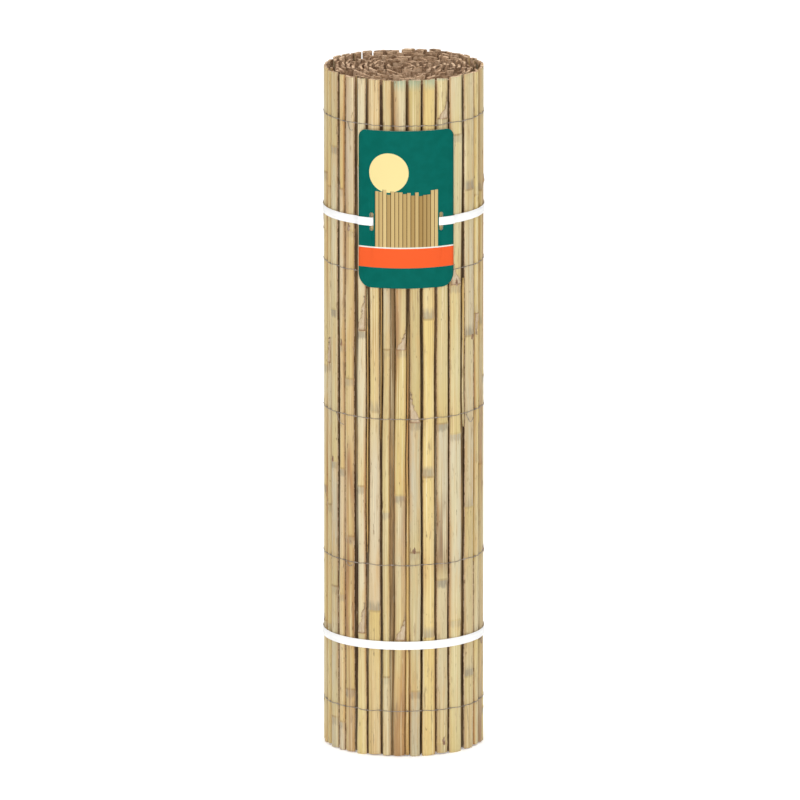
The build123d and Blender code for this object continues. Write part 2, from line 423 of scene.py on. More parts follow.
def card_material():
    """Coated card with a generic print: a pale sun behind a stand of reeds, on green and orange."""
    material, tree, shader = new_material("printed_card")
    place = add_node(tree, "ShaderNodeUVMap", uv_map="print").outputs["UV"]
    axes = feed(add_node(tree, "ShaderNodeSeparateXYZ"), Vector=place)
    across, up = axes.outputs["X"], axes.outputs["Y"]

    def below(value, limit):
        """1 where a value is under a limit."""
        return math_node("LESS_THAN", value, limit)

    def within(value, low, high):
        """1 where a value lies between two limits."""
        return math_node("MULTIPLY", below(low, value), below(value, high))

    side = math_node("POWER", math_node("SUBTRACT", across, SUN_ACROSS), 2)
    rise = math_node("POWER", math_node("SUBTRACT", up, SUN_UP), 2)
    sun = below(math_node("ADD", side, rise), SUN_RADIUS**2)
    mottle = noise_at(place, (60, 60, 1), detail=4)
    colour = overlay(srgb(0, 92, 82), mottle, (0.3, 0.7), 1, srgb(2, 98, 88))
    colour = blend_colour(sun, colour, srgb(232, 214, 150))
    stem = math_node("SNAP", across, STEM_PITCH)
    chance = add_node(tree, "ShaderNodeTexWhiteNoise", noise_dimensions="1D")
    feed(chance, W=stem)
    from_edge = math_node("SUBTRACT", across, stem)
    shades = blend_colour(chance.outputs["Value"], srgb(150, 118, 66), srgb(210, 184, 128))
    shades = blend_colour(below(from_edge, STEM_SHADOW), shades, srgb(66, 46, 24))
    uneven = math_node("MULTIPLY", chance.outputs["Value"], STEM_RANGE)
    standing = within(up, BAND_TOP, math_node("ADD", STEM_TOP, uneven))
    stand = math_node("MULTIPLY", standing, within(across, -STAND_HALF, STAND_HALF))
    colour = blend_colour(stand, colour, shades)
    colour = blend_colour(within(up, BAND_BOTTOM, BAND_TOP), colour, srgb(232, 92, 44))
    colour = blend_colour(within(up, *BAND_LINE), colour, srgb(226, 224, 214))
    feed(shader, Base_Color=colour, Roughness=0.5, Specular_IOR_Level=0.04)
    bump_into(shader, mottle, 0.0004, 0.2)
    return material


def card_core_material():
    """Grey-white pulp at the card's cut edge and on its back."""
    material, tree, shader = new_material("card_pulp")
    place = add_node(tree, "ShaderNodeTexCoord").outputs["Object"]
    pulp = noise_at(place, 700, detail=4)
    colour = overlay(srgb(196, 194, 186), pulp, (0.35, 0.65), 1, srgb(222, 220, 212))
    feed(shader, Base_Color=colour, Roughness=0.85)
    return material


WHITE = (1.0, 1.0, 1.0, 1.0)
FLOOR_GLOW = 0.25


def floor_material():
    """Plain pale floor."""
    material, tree, shader = new_material("pale_floor")
    place = add_node(tree, "ShaderNodeTexCoord").outputs["Object"]
    cloud = noise_at(place, 3, detail=2)
    colour = overlay(srgb(250, 250, 250), cloud, (0.3, 0.7), 1, srgb(252, 252, 252))
    feed(shader, Base_Color=colour, Roughness=0.9, Specular_IOR_Level=0.1)
    feed(shader, Emission_Color=WHITE, Emission_Strength=FLOOR_GLOW)
    return material


# Mesh tools


def add_object(name, data):
    """A new object in the scene."""
    made = bpy.data.objects.new(name, data)
    bpy.context.scene.collection.objects.link(made)
    return made


class Shape:
    """Points, faces and per-point tints that grow into one mesh."""

    def __init__(self):
        self.points = []
        self.tints = []
        self.grains = []
        self.faces = []
        self.slots = []

    def point(self, place, tint, grain):
        """Adds a point and gives its number."""
        self.points.append(place)
        self.tints.append(tint)
        self.grains.append(grain)
        return len(self.points) - 1

    def face(self, corners, slot=0):
        """Adds a face of a material slot."""
        self.faces.append(corners)
        self.slots.append(slot)

    def tube(self, rings, skins):
        """Adds a tube with closed ends. Each span has slot 0 on its first sides and slot 1 on the rest."""
        count = len(rings[0])
        for low, high, skin in zip(rings, rings[1:], skins):
            for step in range(count):
                after = (step + 1) % count
                self.face((low[step], low[after], high[after], high[step]), 0 if step < skin else 1)
        self.face(tuple(rings[-1]), 1)
        self.face(tuple(reversed(rings[0])), 1)

    def build(self, name, materials, slot_name):
        """The finished object, riding on the roll."""
        mesh = bpy.data.meshes.new(name)
        mesh.from_pydata(self.points, [], self.faces)
        tint = mesh.attributes.new("tint", "FLOAT_COLOR", "POINT")
        tint.data.foreach_set("color", [channel for colour in self.tints for channel in colour])
        grain = mesh.attributes.new("grain", "FLOAT_VECTOR", "POINT")
        grain.data.foreach_set("vector", [number for vector in self.grains for number in vector])
        for material in materials:
            mesh.materials.append(material)
        mesh.polygons.foreach_set("material_index", self.slots)
        mesh.polygons.foreach_set("use_smooth", [slot == 0 for slot in self.slots])
        mesh.update()
        made = add_object(name, mesh)
        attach(made, "root")
        return made


# The canes

ACROSS = 13
BACK_SHARES = [1.0, 0.7, 0.0, -0.7, -1.0]
HOLLOW = 0.0018
NODE_RINGS = [-0.0135, -0.0112, -0.009, -0.006, -0.003, -0.0012, 0.0, 0.0012, 0.003, 0.009, 0.018]
# The ring next to an end lies further in than the lowest point of the slanted cut
OUTER_END_RING = 0.0045
INNER_END_RING = 0.010
SECOND_TURN = range(len(outer_canes), 2 * len(outer_canes) + 2)
# One in so many canes of the second turn isn't darkened with painted shade
PALE_EVERY = 4
RING_SPACING = 0.0125
SECOND_SPACING = 0.05
INNER_SPACING = 0.4
CLOSEST_RINGS = 0.0005
FLAT_POWER = 2.5
ROUND_POWER = 0.6
GAP_EXTRA = 0.0011
BACK_GAP = 0.0031
BACK_GAP_RANGE = 0.0024
# Drifts of a gap's middle: how far, how quickly along the cane, and the row of noise
GAP_DRIFTS = [(0.0015, 3.2, 2), (0.0008, 11.0, 4), (0.0003, 31.0, 9)]
# Joints of a cane that isn't at the front: the first, the steps between and the limit
FIRST_JOINT = (0.03, 0.24)
JOINT_STEPS = (0.17, 0.29)
LAST_JOINT = 0.97
# A joint's swelling, the neck beside it, and the most that the edges step there
JOINT_SWELL = 0.0005
JOINT_REACH = 0.0035
NECK_DEPTH = 0.0002
NECK_OFFSET = 0.006
NECK_REACH = 0.003
EDGE_STEP = 0.0007
BOW = 0.0003
# Fresh skin past a joint, the grey bloom before it and the thin line on it
FRESH_REACH = 0.08
BLOOM_REACH = 0.018
BLOOM_LENGTH = 0.012
BLOOM_FADE = 0.003
LINE_OFFSET = 0.0006
LINE_REACH = 0.0012
STAIN_FADE = 0.03
# Shares of the half width where brown rims and edges start
RIM_START = 0.62
EDGE_START = 0.8
RAGGED_CUT = 0.0009
GRAIN_STEP = 0.11
# Slivers: section as shares of the half width and heights, then the taper to a tip and to a raised foot
SLIVER_SECTION = [(-1, 0.0008), (-0.6, 0.0026), (0, 0.0032), (0.6, 0.0026), (1, 0.0008)]
SLIVER_STEPS = 40
SLIVER_TIP = 0.15
SLIVER_TAPER = 12
RAISED = 0.01
# Slivers that aren't at the front: how often, where they start, how long and wide they are
BACK_SLIVER_CHANCE = 0.35
BACK_SLIVER_FOOT = (0.05, 0.6)
BACK_SLIVER_LENGTH = (0.15, 0.38)
BACK_SLIVER_WIDTHS = (0.0016, 0.0024)


def noisy(x, y, z):
    """Smooth noise from about -1 to 1 at a place."""
    return noise.noise(Vector((x, y, z)))


def bell(distance):
    """Height of a bell curve at a distance from its middle."""
    return math.exp(-(distance**2))


def wander(number, height, pace, row):
    """Smooth noise from about -1 to 1 along a cane or gap."""
    return noisy(number * 5.37 + 0.5, height * pace, row * 7.1)


def eased(levels, values, level):
    """Value at a level, eased between the values that are given at some levels."""
    for low, high, first, second in zip(levels, levels[1:], values, values[1:]):
        if level <= high:
            share = max(0.0, (level - low) / (high - low))
            return first + (second - first) * share * share * (3 - 2 * share)
    return values[-1]


def gap_after(number, height):
    """Width of the gap between a cane of the outer turn and the next."""
    if number in FRONT_GAPS:
        return eased(GAP_HEIGHTS, FRONT_GAPS[number], height) / 1000 + GAP_EXTRA
    return BACK_GAP + BACK_GAP_RANGE * wander(number, height, 3.0, 1)


def gap_shift(number, height):
    """How far the middle of that gap wanders along the screen."""
    return sum(reach * wander(number, height, pace, row) for reach, pace, row in GAP_DRIFTS)


def skin_height(share, thickness):
    """Height of a cane's round side at a share of its half width."""
    return CANE_EDGE + (thickness - CANE_EDGE) * max(0.0, 1 - abs(share) ** FLAT_POWER) ** ROUND_POWER


def ring_heights(bottom, top, nodes, spacing, end_ring):
    """Heights of the rings along a cane: evenly spaced, and closer at its joints."""
    first, last = bottom + end_ring, top - end_ring
    heights = {bottom, first, last, top}
    steps = max(2, int((top - bottom) / spacing))
    heights.update(first + (last - first) * step / steps for step in range(1, steps))
    for node in nodes:
        heights.update(node + offset for offset in NODE_RINGS if first < node + offset < last)
    kept = []
    for height in sorted(heights):
        if not kept or height - kept[-1] > CLOSEST_RINGS:
            kept.append(height)
    return kept


def random_nodes():
    """Heights of a cane's joints, first at random and then at uneven steps."""
    nodes = []
    height = dice.uniform(*FIRST_JOINT)
    while height < LAST_JOINT:
        nodes.append(height)
        height += dice.uniform(*JOINT_STEPS)
    return nodes


class OuterLook:
    """What makes a cane of the outer turn differ from the next: cut, edges, joints and colours."""

    def __init__(self, cane):
        self.cane = cane
        front = cane.number in FRONT_NODES
        self.nodes = FRONT_NODES[cane.number] if front else random_nodes()
        self.way = -1 if cane.number in FLIPPED or not front and dice.random() < 0.25 else 1
        self.thickness = CANE_THICKNESS - dice.uniform(0.0002, 0.0008)
        self.bottom = dice.uniform(0.0, 0.0028)
        self.top = CANE_LENGTH - dice.uniform(0.0, 0.001 if front else 0.0022)
        self.slope = dice.uniform(-0.06, 0.06)
        self.base = mixed(dice.choice(STRAWS), dice.choice(STRAWS), dice.random())
        self.spans = [dice.uniform(-0.6, 0.6) for _ in range(len(self.nodes) + 1)]
        self.bands = [dice.uniform(0.25, 0.85) for _ in self.nodes]
        self.lines = [dice.uniform(0.2, 0.8) for _ in self.nodes]
        self.stain = dice.uniform(0.4, 0.9) if cane.number == STAINED or dice.random() < 0.22 else 0.0
        self.tone = 1 + 0.22 * wander(cane.number, 0.37, 1.0, 12)
        self.rim_side = dice.choice([-1, 1])
        self.seed = dice.uniform(0, 50)
        self.frayed_top = False
        self.heights = ring_heights(self.bottom, self.top, self.nodes, RING_SPACING, OUTER_END_RING)

    def span(self, height):
        """How many joints lie below a height."""
        return sum(1 for node in self.nodes if node < height)

    def swell(self, height):
        """How much a joint thickens the cane at a height."""
        extra = 0.0
        for node in self.nodes:
            extra += JOINT_SWELL * bell((height - node) / JOINT_REACH)
            extra -= NECK_DEPTH * bell((height - node - NECK_OFFSET * self.way) / NECK_REACH)
        return extra

    def edges(self, height):
        """Places of the cane's two edges along the screen, which step at its joints."""
        number, half = self.cane.number, self.cane.width / 2
        swell = self.swell(height) + EDGE_STEP * wander(number, self.span(height) + 0.4, 1.7, 14)
        first = -half + gap_shift(number - 1, height) + gap_after(number - 1, height) / 2 - swell
        last = half + gap_shift(number, height) - gap_after(number, height) / 2 + swell
        return first, last

    def place(self, share, lift, height):
        """Point at a share of the half width, and a height above the flat side."""
        first, last = self.edges(height)
        along = (first + last) / 2 + share * (last - first) / 2
        return self.cane.middle + self.cane.along * along + self.cane.outward * lift

    def skin(self, share, height):
        """Height of the skin above the flat side."""
        bow = BOW * wander(self.cane.number, height, 3.0, 3) - BOW
        return skin_height(share, self.thickness + self.swell(height)) + bow

    def tint(self, height, share):
        """Colour of the skin at a height and a share of the half width."""
        number = self.cane.number
        wash = 0.5 * noisy(self.seed, height * 6, share * 0.7)
        mood = self.spans[self.span(height)] + wash
        colour = mixed(self.base, FRESH if mood > 0 else PALE, min(0.8, abs(mood)))
        for node, band, line in zip(self.nodes, self.bands, self.lines):
            past = (height - node) * self.way
            ragged = 0.002 * noisy(self.seed, node * 30, share * 3)
            if 0 <= past < FRESH_REACH:
                colour = mixed(colour, FRESH, 0.5 * (1 - past / FRESH_REACH))
            if -BLOOM_REACH < past < 0:
                fade = min(1.0, max(0.0, (past + BLOOM_LENGTH + 2 * ragged) / BLOOM_FADE))
                colour = mixed(colour, BLOOM, band * fade)
            colour = mixed(colour, NODE_LINE, line * bell((past - LINE_OFFSET) / LINE_REACH))
        if self.stain:
            patch = noisy(self.seed + 9, height * 3.5, share * 0.6)
            colour = mixed(colour, STAIN, max(0.0, min(self.stain, 2.0 * patch + 0.1)))
        for stained, low, high, strength, shade in FRONT_STAINS:
            if stained == number and low < height < high:
                patch = noisy(self.seed + 9, height * 16, share * 1.3)
                ends = min(1.0, (height - low) / STAIN_FADE, (high - height) / STAIN_FADE)
                colour = mixed(colour, shade, strength * ends * max(0.0, min(1.0, 0.6 + patch)))
        rim = max(0.0, share * self.rim_side - RIM_START) / (1 - RIM_START)
        bark = max(0.0, noisy(self.seed + 4, height * 5, 0) + 0.25)
        colour = mixed(colour, BARK_EDGE, min(0.9, 1.3 * bark * rim))
        edge = max(0.0, abs(share) - EDGE_START) / (1 - EDGE_START)
        colour = mixed(colour, BARK_EDGE, 0.4 * edge**2)
        if height > CANE_LENGTH - WASHES.get(number, 0.0):
            colour = mixed(colour, WASH, 0.6)
        return tuple(channel * self.tone for channel in colour[:3]) + (1.0,)


class InnerLook:
    """What makes a cane of the inner turns differ from the next: its turn, place, cut and colour."""

    def __init__(self, cane):
        self.cane = cane
        twist = dice.uniform(-0.14, 0.14)
        self.along = (cane.along + cane.outward * twist).normalized()
        self.outward = turned(self.along, 1)
        self.middle = cane.middle + cane.along * dice.uniform(-0.001, 0.001)
        self.middle += cane.outward * dice.uniform(-0.0002, 0.0008)
        self.half = cane.width / 2 - dice.uniform(0.0006, 0.0040)
        self.thickness = CANE_THICKNESS - dice.uniform(0.0002, 0.0014)
        self.bottom = dice.uniform(0.0, 0.003)
        self.top = CANE_LENGTH - dice.choice([0.0, 0.0006, 0.0016, 0.003, 0.005, 0.008])
        self.slope = dice.uniform(-0.2, 0.2)
        straw = mixed(dice.choice(STRAWS), BARK_EDGE, dice.uniform(0.1, 0.5))
        # Darkened towards a brown, by a random share
        self.colour = mixed(straw, INNER_BROWN, dice.uniform(0.35, 0.8))
        # Painted shade: the second turn's canes show only in the outer turn's gaps, and are darkened to
        # look shadowed
        if cane.number in SECOND_TURN and cane.number % PALE_EVERY:
            self.colour = mixed(self.colour, PAINTED_SHADE, 0.7)
        self.seed = dice.uniform(0, 50)
        spacing = SECOND_SPACING if cane.number in SECOND_TURN else INNER_SPACING
        self.frayed_top = cane.number not in SECOND_TURN
        self.heights = ring_heights(self.bottom, self.top, [], spacing, INNER_END_RING)

    def place(self, share, lift, height):
        """Point at a share of the half width, and a height above the flat side."""
        return self.middle + self.along * share * self.half + self.outward * lift

    def skin(self, share, height):
        """Height of the skin above the flat side."""
        return skin_height(share, self.thickness)

    def tint(self, height, share):
        """Colour of the skin at a height and a share of the half width."""
        # Darker in random patches, towards the brown of the painted shade
        patch = 0.5 + 0.5 * noisy(self.seed, height * 5, share)
        return mixed(self.colour, PAINTED_SHADE, 0.4 * patch)


def add_cane(shape, look):
    """Adds one cane to a shape: its skin in slot 0, its pith and sawn ends in slot 1."""
    loop = [(math.sin(math.pi * (step / (ACROSS - 1) - 0.5)), True) for step in range(ACROSS)]
    loop += [(share, False) for share in BACK_SHARES]
    number = look.cane.number
    rings = []
    for height in look.heights:
        end = 1 if height == look.heights[-1] else -1 if height == look.heights[0] else 0
        ring = []
        for share, is_skin in loop:
            lift = look.skin(share, height) if is_skin else HOLLOW * (1 - share * share)
            spot = look.place(share, lift, height)
            ragged = RAGGED_CUT * noisy(look.seed, share * 2.6, lift * 400)
            cut = abs(end) * (look.slope * share * look.cane.width / 2) + end * ragged
            level = min(CANE_LENGTH, max(0.0, height + cut))
            grain = (share * look.cane.width / 2 + number * GRAIN_STEP, number * 0.7, height + look.seed)
            ring.append(shape.point((spot.x, spot.y, level), look.tint(height, share), grain))
        rings.append(ring)
    skins = [ACROSS - 1] * (len(rings) - 1)
    if look.frayed_top:
        skins[-1] = 0
    shape.tube(rings, skins)


def add_sliver(shape, number, bottom, top, low_width, high_width):
    """Adds a strip of split cane that lies between a cane and the next, just below their crowns."""
    first, second = outer_canes[number], outer_canes[number + 1]
    middle = first.middle + first.along * first.width / 2
    along = (first.along + second.along).normalized()
    outward = (first.outward + second.outward).normalized()
    rings = []
    for step in range(SLIVER_STEPS + 1):
        rise = step / SLIVER_STEPS
        height = bottom + (top - bottom) * rise
        foot = rise * SLIVER_TAPER if bottom > RAISED else 1
        taper = min(1.0, SLIVER_TIP + (1 - rise) * SLIVER_TAPER, SLIVER_TIP + foot)
        half = taper * (low_width + (high_width - low_width) * rise) / 2
        shift = gap_shift(number, height) + 0.0006 * wander(number, height, 9.0, 5)
        tone = mixed(BARK_EDGE, FRESH, 0.5 + 0.5 * wander(number, height, 6.0, 6))
        ring = []
        for share, lift in SLIVER_SECTION:
            spot = middle + along * (shift + share * half) + outward * lift
            grain = (share * half + number * 0.3, number * 0.4, height)
            ring.append(shape.point((spot.x, spot.y, height), tone, grain))
        rings.append(ring)
    shape.tube(rings, [len(SLIVER_SECTION) - 1] * SLIVER_STEPS)


def build_canes(skin, end):
    """The outer turn with its slivers, and the plainer turns inside it."""
    looks = {cane.number: OuterLook(cane) for cane in outer_canes}
    outer = Shape()
    for look in looks.values():
        add_cane(outer, look)
    outer_turn = outer.build("outer_turn", [skin, end], "cane")
    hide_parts("cane_mat")
    inner = Shape()
    for cane in inner_canes:
        add_cane(inner, InnerLook(cane))
    inner.build("inner_turns", [skin, end], "cane")
    slivers = Shape()
    for sliver in FRONT_SLIVERS:
        add_sliver(slivers, *sliver)
    for number in range(len(outer_canes) - 1):
        if number not in FRONT_NODES and dice.random() < BACK_SLIVER_CHANCE:
            bottom = dice.uniform(*BACK_SLIVER_FOOT)
            top = bottom + dice.uniform(*BACK_SLIVER_LENGTH)
            add_sliver(slivers, number, bottom, top, *BACK_SLIVER_WIDTHS)
    slivers.build("split_slivers", [skin, end], "cane")
    return looks


# What sits on the canes' joints

SCALE_THICKNESS = 0.00025
SHEATH_CHANCE = 0.12
SHEATH_HEIGHT = (0.030, 0.052)
SHEATH_GRID = (40, 10)
SHEATH_SIDE = 0.94
SHEATH_PALE = srgb(196, 176, 144)
SHEATH_EDGE = srgb(156, 118, 80)
SHEATH_FOOT = srgb(132, 92, 62)
# The torn edge of a sheath across the cane, at some shares of its height
TORN_LEVELS = [0.0, 0.14, 0.5, 1.0]
TORN_EDGES = [-0.93, -0.75, 0.3, 0.9]
BUD_CHANCE = 0.18
BUD_HEIGHT = (0.007, 0.011)
BUD_WIDTH = (0.22, 0.38)
BUD_GRID = (10, 8)
BUD_DARK = srgb(112, 82, 62)
BUD_PALE = srgb(168, 138, 112)


def skin_place(look, share, height, lift):
    """Point just off a cane's skin at a share of its half width and a height."""
    spot = look.place(share, look.skin(share, height) + lift, height)
    return Vector((spot.x, spot.y, height))


def add_patch(shape, rows, columns, spot):
    """Adds a sheet whose points come from a function of their shares up and across."""
    grid = []
    for row in range(rows + 1):
        line = [spot(row / rows, 2 * column / columns - 1) for column in range(columns + 1)]
        grid.append([shape.point(place, tint, grain) for place, tint, grain in line])
    for low, high in zip(grid, grid[1:]):
        for column in range(columns):
            shape.face((low[column], low[column + 1], high[column + 1], high[column]))


def add_sheath(shape, look, node, side):
    """Adds a torn scrap of leaf sheath that covers a joint and runs out along one edge of the cane."""
    tall = dice.uniform(*SHEATH_HEIGHT)

    def spot(rise, across):
        torn = 0.42 * noisy(look.seed, rise * 7, 2.0)
        torn += 0.34 * noisy(look.seed, rise * 23, 6.0)
        torn_edge = eased(TORN_LEVELS, TORN_EDGES, rise) + torn * (0.3 + rise)
        torn_edge = max(-0.95, min(SHEATH_SIDE - 0.05, torn_edge))
        share = side * (torn_edge + (SHEATH_SIDE - torn_edge) * (across + 1) / 2)
        frayed = 0.10 * noisy(look.seed + 3, across * 4, 5.0) * rise
        height = node + (0.0006 + tall * (rise + frayed)) * look.way
        lift = 0.0002 + 0.0009 * max(0.0, -across) * rise + 0.0003 * abs(torn)
        edge = max(0.0, abs(across) - 0.6) / 0.4
        tint = mixed(SHEATH_PALE, SHEATH_EDGE, 0.8 * edge)
        tint = mixed(tint, SHEATH_FOOT, max(0.0, 1 - rise / 0.06))
        return skin_place(look, share, height, lift), tint, (share * 0.01 + look.seed, 0, height)

    add_patch(shape, *SHEATH_GRID, spot)


def add_bud(shape, look, node):
    """Adds a dry bud and its broken scales, flat against the cane at a joint."""
    middle = dice.uniform(-0.4, 0.4)
    tall, wide = dice.uniform(*BUD_HEIGHT), dice.uniform(*BUD_WIDTH)

    def spot(rise, across):
        frayed = 1 + 0.7 * noisy(look.seed, across * 3, rise * 4)
        reach = wide * math.sin(math.pi * min(1.0, 0.12 + 0.88 * rise)) ** 0.7 * frayed
        share = max(-0.95, min(0.95, middle + across * reach))
        bulge = (1 - across * across) * math.sin(math.pi * (0.1 + 0.85 * rise))
        height = node + (-0.001 + tall * rise * frayed) * look.way
        tint = mixed(BUD_DARK, BUD_PALE, abs(across))
        return skin_place(look, share, height, 0.0001 + 0.0008 * bulge), tint, (share * 0.01, 1, height)

    add_patch(shape, *BUD_GRID, spot)


def build_trimmings(looks):
    """Torn sheaths and buds: those that show at the front, and some at random elsewhere."""
    sheaths, buds = Shape(), Shape()
    marked_sheaths, marked_buds = list(SHEATHS), list(BUDS)
    for cane in outer_canes:
        if cane.number in FRONT_NODES:
            continue
        for place in range(len(looks[cane.number].nodes)):
            chance = dice.random()
            if chance < SHEATH_CHANCE:
                marked_sheaths.append((cane.number, place, dice.choice([-1, 1])))
            elif chance < SHEATH_CHANCE + BUD_CHANCE:
                marked_buds.append((cane.number, place))
    for number, place, side in marked_sheaths:
        add_sheath(sheaths, looks[number], looks[number].nodes[place], side)
    for number, place in marked_buds:
        add_bud(buds, looks[number], looks[number].nodes[place])
    sheath = sheath_material()
    for shape, name in ((sheaths, "torn_sheaths"), (buds, "buds")):
        scale = shape.build(name, [sheath], "cane").modifiers.new("scale", "SOLIDIFY")
        scale.thickness = SCALE_THICKNESS
        scale.offset = 0


# The binding wire

STRAND_SHARES = (-0.6, 0.0, 0.6)
WIRE_WANDER = 0.0018
WIRE_DIP = 0.0042
TWIST_POINTS = 8
TWIST_TURNS = 1.5
TWIST_LENGTH = 0.0036
TWIST_RADIUS = 0.0006
# Loose ends of the wire: row, angle where the end leaves the row, then its steps round, up and out
LOOSE_ENDS = [
    (2, -146.0, [(3.0, -0.006, 0.001), (6.0, -0.013, 0.002), (9.5, -0.015, 0.001)]),
    (2, -38.5, [(2.0, -0.008, 0.001), (4.5, -0.014, 0.002), (7.0, -0.008, 0.003)]),
    (1, -135.0, [(2.0, -0.004, 0.001), (5.0, -0.006, 0.0015), (8.0, -0.002, 0.002)]),
    (4, -133.0, [(1.5, -0.006, 0.001), (3.5, -0.011, 0.002), (6.0, -0.010, 0.003)]),
    (3, 35.0, [(3.0, -0.006, 0.001), (6.0, -0.011, 0.001)]),
    (0, 150.0, [(-3.0, 0.005, 0.001), (-6.0, 0.010, 0.002)]),
]


def add_spline(curve, points):
    """Adds a smooth line through points to a curve."""
    spline = curve.splines.new("BEZIER")
    spline.bezier_points.add(len(points) - 1)
    for bezier, place in zip(spline.bezier_points, points):
        bezier.co = place
        bezier.handle_left_type = bezier.handle_right_type = "AUTO"


def build_wires(looks, material):
    """Five rows: a strand over the crowns that dips into each gap, and a twisted pair in the gap."""
    for row, level in enumerate(WIRE_HEIGHTS):
        curve = bpy.data.curves.new(f"wire_{row + 1}", "CURVE")
        curve.dimensions = "3D"
        curve.bevel_depth = WIRE_RADIUS
        curve.bevel_resolution = 1
        curve.resolution_u = 3
        curve.use_fill_caps = True
        strand = []
        for cane, neighbour in zip(outer_canes, outer_canes[1:]):
            look = looks[cane.number]
            for share in STRAND_SHARES:
                height = level + WIRE_WANDER * wander(row + 2, cane.number + share, 0.8, 8)
                strand.append(skin_place(look, share, height, WIRE_RADIUS))
            middle = cane.middle + cane.along * (cane.width / 2 + gap_shift(cane.number, level))
            way_out = (cane.outward + neighbour.outward).normalized()
            way_along = (cane.along + neighbour.along).normalized()
            drop = WIRE_WANDER * wander(row + 2, cane.number + 0.5, 0.8, 8)
            dip = middle + way_out * WIRE_DIP + Vector((0, 0, level + drop))
            strand.append(dip)
            for turn in (0.0, math.pi):
                twist = []
                for step in range(TWIST_POINTS):
                    share = step / (TWIST_POINTS - 1)
                    phase = turn + share * math.tau * TWIST_TURNS
                    offset = way_along * TWIST_LENGTH * (share - 0.5)
                    around = way_out * math.cos(phase) + Vector((0, 0, math.sin(phase)))
                    twist.append(dip + offset + around * TWIST_RADIUS)
                add_spline(curve, twist)
        add_spline(curve, strand)
        for loose_row, angle, steps in LOOSE_ENDS:
            if loose_row == row:
                line = []
                for turn, rise, out in [(0, 0, 0)] + steps:
                    place = on_outer_turn(angle + turn, out - WIRE_RADIUS)
                    line.append(Vector((place.x, place.y, level + rise)))
                add_spline(curve, line)
        wire = add_object(f"wire_{row + 1}", curve)
        curve.materials.append(material)
        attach(wire, "root")
        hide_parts(f"binding_wire_{row + 1}")


# The straps

STRAP_BEVEL = 0.0002
LAST_STRAPPED = 32
WELD_CANES = (4, 6)
# Where a strap touches a cane: the share of its width, and how far the strap falls there
CROWN_SPOTS = [(-0.22, 0.00025), (0.0, 0.0), (0.22, 0.00025)]
# Steps over a margin of the card, and the room past its edges in degrees
MARGIN_STEPS = 12
MARGIN_ROOM = 0.5
MARGIN_CLEAR = 0.4


def wrapped_path(first, last, height):
    """Points of a strap pulled over the crowns of some canes, at a height above them."""
    path = []
    for cane in outer_canes[first : last + 1]:
        for share, fall in CROWN_SPOTS:
            place = cane.crown + cane.along * cane.width * share + cane.outward * (height - fall)
            path.append(place)
    return path


def angle_of(place):
    """Angle of a point of the plan, from -270 to 90 degrees as the outer turn is counted."""
    angle = math.degrees(math.atan2(place.y, place.x))
    return angle - 360 if angle > SEAM_ANGLE else angle


def over_card_path(height):
    """Path of the upper strap: out over each margin of the card, and in through its slots."""
    card_radius = on_outer_turn(CARD_ANGLE, CARD_LIFT).length
    half_card = math.degrees(CARD_WIDTH / 2 / card_radius) + MARGIN_ROOM
    half_slot = math.degrees(SLOT_SPACING / 2 / card_radius)
    margins = [
        (CARD_ANGLE + half_slot, CARD_ANGLE + half_card),
        (CARD_ANGLE - half_card, CARD_ANGLE - half_slot),
    ]
    path = []
    waiting = list(margins)
    for place in wrapped_path(0, LAST_STRAPPED, height):
        angle = angle_of(place)
        if waiting and angle < waiting[0][1]:
            low, high = waiting.pop(0)
            steps = [high - (high - low) * step / MARGIN_STEPS for step in range(MARGIN_STEPS + 1)]
            path += [on_outer_turn(step, OVER_CARD + height - SEAT_GAP) for step in steps]
        if not any(low - MARGIN_CLEAR < angle < high + MARGIN_CLEAR for low, high in margins):
            path.append(place)
    return path


def build_band(name, path, level, closed, material):
    """A flat band with softened edges along a path of the plan."""
    half = STRAP_WIDTH / 2
    inset = STRAP_BEVEL - half
    section = [(0, inset), (STRAP_BEVEL, -half)]
    section += [(STRAP_THICKNESS - STRAP_BEVEL, -half), (STRAP_THICKNESS, inset)]
    section += [(lift, -rise) for lift, rise in reversed(section)]
    shape = Shape()
    rings = []
    run = 0.0
    for number, place in enumerate(path):
        before = path[number - 1] if closed or number else place
        after = path[(number + 1) % len(path)] if closed or number < len(path) - 1 else place
        outward = turned((after - before).normalized(), 1)
        run += (place - path[number - 1]).length if number else 0.0
        ring = []
        for lift, rise in section:
            spot = place + outward * lift
            ring.append(shape.point((spot.x, spot.y, level + rise), WHITE, (run, 0, rise)))
        rings.append(ring)
    following = rings[1:] + (rings[:1] if closed else [])
    for first, second in zip(rings, following):
        for corner in range(len(section)):
            after = (corner + 1) % len(section)
            shape.face((first[corner], second[corner], second[after], first[after]))
    if not closed:
        shape.face(tuple(rings[0]))
        shape.face(tuple(reversed(rings[-1])))
    return shape.build(name, [material], "strap")


def build_straps(material):
    """Both straps and their welded overlaps."""
    lower = build_band("strap_low", wrapped_path(0, LAST_STRAPPED, SEAT_GAP), LOWER_STRAP, True, material)
    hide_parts("lower_strap")
    upper = build_band("strap_high", over_card_path(SEAT_GAP), UPPER_STRAP, True, material)
    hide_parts("upper_strap")
    weld_path = wrapped_path(*WELD_CANES, SEAT_GAP + STRAP_THICKNESS)
    build_band("weld_low", weld_path, LOWER_STRAP, False, material)
    build_band("weld_high", weld_path, UPPER_STRAP, False, material)


# The card

CARD_STRIPS = 36
CORNER_STEPS = 8
# A corner of the outline this near to a strip's line counts as on it
NEAR = 0.0003


def rounded_corner(centre_across, centre_up, radius, first_angle):
    """Points of a quarter circle, anticlockwise from an angle in degrees."""
    points = []
    for step in range(CORNER_STEPS + 1):
        angle = math.radians(first_angle + 90 * step / CORNER_STEPS)
        points.append((centre_across + radius * math.cos(angle), centre_up + radius * math.sin(angle)))
    return points


